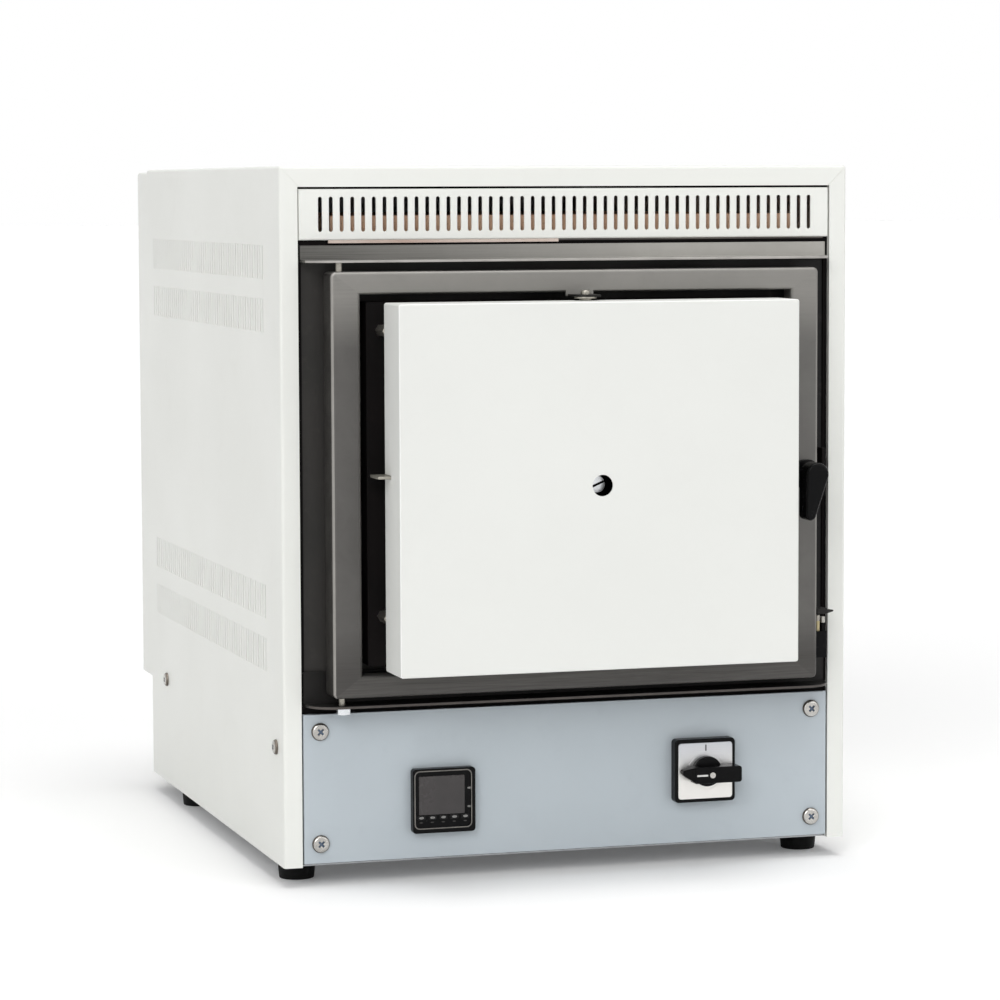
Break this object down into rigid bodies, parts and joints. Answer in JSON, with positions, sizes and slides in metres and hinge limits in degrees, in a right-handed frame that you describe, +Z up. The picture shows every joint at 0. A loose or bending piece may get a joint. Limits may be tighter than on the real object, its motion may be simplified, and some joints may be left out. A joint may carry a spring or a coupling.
{
  "type": "burnout furnace",
  "caption": "Bench burnout furnace: white steel cabinet with slotted vents, side-hinged door with a fibre plug, ceramic muffle chamber, and a control panel below.",
  "frame": {"origin": "on the ground under the middle of the overall box", "axes": "+Z up, +Y from the door to the back, +X to the right of somebody who faces the door"},
  "size_m": [0.4452, 0.593, 0.527],
  "materials": {
    "white_paint": "satin",
    "panel_paint": "satin",
    "door_steel": "satin",
    "dark_steel": "matte",
    "plate_steel": "satin",
    "zinc_sheet": "satin",
    "zinc_screws": "satin",
    "yellow_zinc": "satin",
    "rubber": "matte",
    "black_plastic": "satin",
    "screen_plastic": "gloss",
    "key_plastic": "satin",
    "plate_aluminium": "satin",
    "pale_plastic": "satin",
    "grey_plastic": "satin",
    "fibre_board": "matte",
    "muffle_ceramic": "matte",
    "heating_alloy": "matte"
  },
  "bodies": {
    "cabinet": {"outer_casing": "white_paint", "rear_cover": "white_paint", "front_grille": "white_paint", "rear_panel": "white_paint", "control_panel": "panel_paint", "front_plate": "dark_steel", "latch_keeper": "dark_steel", "upper_hinge_plate": "plate_steel", "lower_hinge_plate": "plate_steel", "base_tray": "zinc_sheet", "front_frame": "zinc_sheet", "rear_bulkhead": "zinc_sheet", "bay_deck": "zinc_sheet", "power_relay": "zinc_sheet", "hinge_pins": "zinc_sheet", "thermocouple_head": "zinc_sheet", "casing_screws": "zinc_screws", "panel_screws": "zinc_screws", "rubber_feet": "rubber", "controller_case": "black_plastic", "controller_clip": "black_plastic", "switch_base": "black_plastic", "cable_gland": "black_plastic", "controller_window": "screen_plastic", "switch_plate": "plate_aluminium", "door_switch": "pale_plastic", "switch_contact_block": "pale_plastic", "terminal_strip": "grey_plastic", "insulation_bottom": "fibre_board", "insulation_top": "fibre_board", "side_insulation": "fibre_board", "insulation_rear": "fibre_board", "muffle": "muffle_ceramic", "hearth_plate": "muffle_ceramic", "element_terminals": "muffle_ceramic", "thermocouple": "muffle_ceramic", "heating_ribbons": "heating_alloy"},
    "door": {"door_frame": "door_steel", "hinge_blocks": "zinc_sheet", "door_cover": "white_paint", "cover_standoffs": "zinc_sheet", "plug_tray": "dark_steel", "door_plug": "fibre_board", "crossbar": "yellow_zinc", "centre_bolt": "yellow_zinc", "hanger_bracket": "yellow_zinc", "hanger_bolt": "yellow_zinc", "striker": "dark_steel", "handle_rose": "black_plastic"},
    "handle": {"door_handle": "black_plastic", "latch_spindle": "zinc_sheet"},
    "selector": {"switch_knob": "black_plastic"},
    "plunger": {"switch_plunger": "yellow_zinc"},
    "key_1": {"controller_key_1": "key_plastic"},
    "key_2": {"controller_key_2": "key_plastic"},
    "key_3": {"controller_key_3": "key_plastic"},
    "key_4": {"controller_key_4": "key_plastic"},
    "key_5": {"controller_key_5": "key_plastic"}
  },
  "joints": [
    {"name": "door_hinge", "type": "hinge", "parent": "cabinet", "child": "door", "pos_m": [-0.179, -0.2315, 0.2963], "axis": [0, 0, -1], "range_deg": [0, 115]},
    {"name": "handle_turn", "type": "hinge", "parent": "door", "child": "handle", "pos_m": [0.178, -0.2435, 0.2963], "axis": [0, -1, 0], "range_deg": [0, 90]},
    {"name": "selector_turn", "type": "hinge", "parent": "cabinet", "child": "selector", "pos_m": [0.104, -0.2345, 0.073], "axis": [0, 1, 0], "range_deg": [0, 90]},
    {"name": "plunger_press", "type": "slide", "parent": "cabinet", "child": "plunger", "axis": [0, 0, -1], "range_m": [0, 0.0015], "stiffness_N_per_m": 300},
    {"name": "key_press_1", "type": "slide", "parent": "cabinet", "child": "key_1", "axis": [0, 1, 0], "range_m": [0, 0.0005], "stiffness_N_per_m": 400},
    {"name": "key_press_2", "type": "slide", "parent": "cabinet", "child": "key_2", "axis": [0, 1, 0], "range_m": [0, 0.0005], "stiffness_N_per_m": 400},
    {"name": "key_press_3", "type": "slide", "parent": "cabinet", "child": "key_3", "axis": [0, 1, 0], "range_m": [0, 0.0005], "stiffness_N_per_m": 400},
    {"name": "key_press_4", "type": "slide", "parent": "cabinet", "child": "key_4", "axis": [0, 1, 0], "range_m": [0, 0.0005], "stiffness_N_per_m": 400},
    {"name": "key_press_5", "type": "slide", "parent": "cabinet", "child": "key_5", "axis": [0, 1, 0], "range_m": [0, 0.0005], "stiffness_N_per_m": 400}
  ]
}
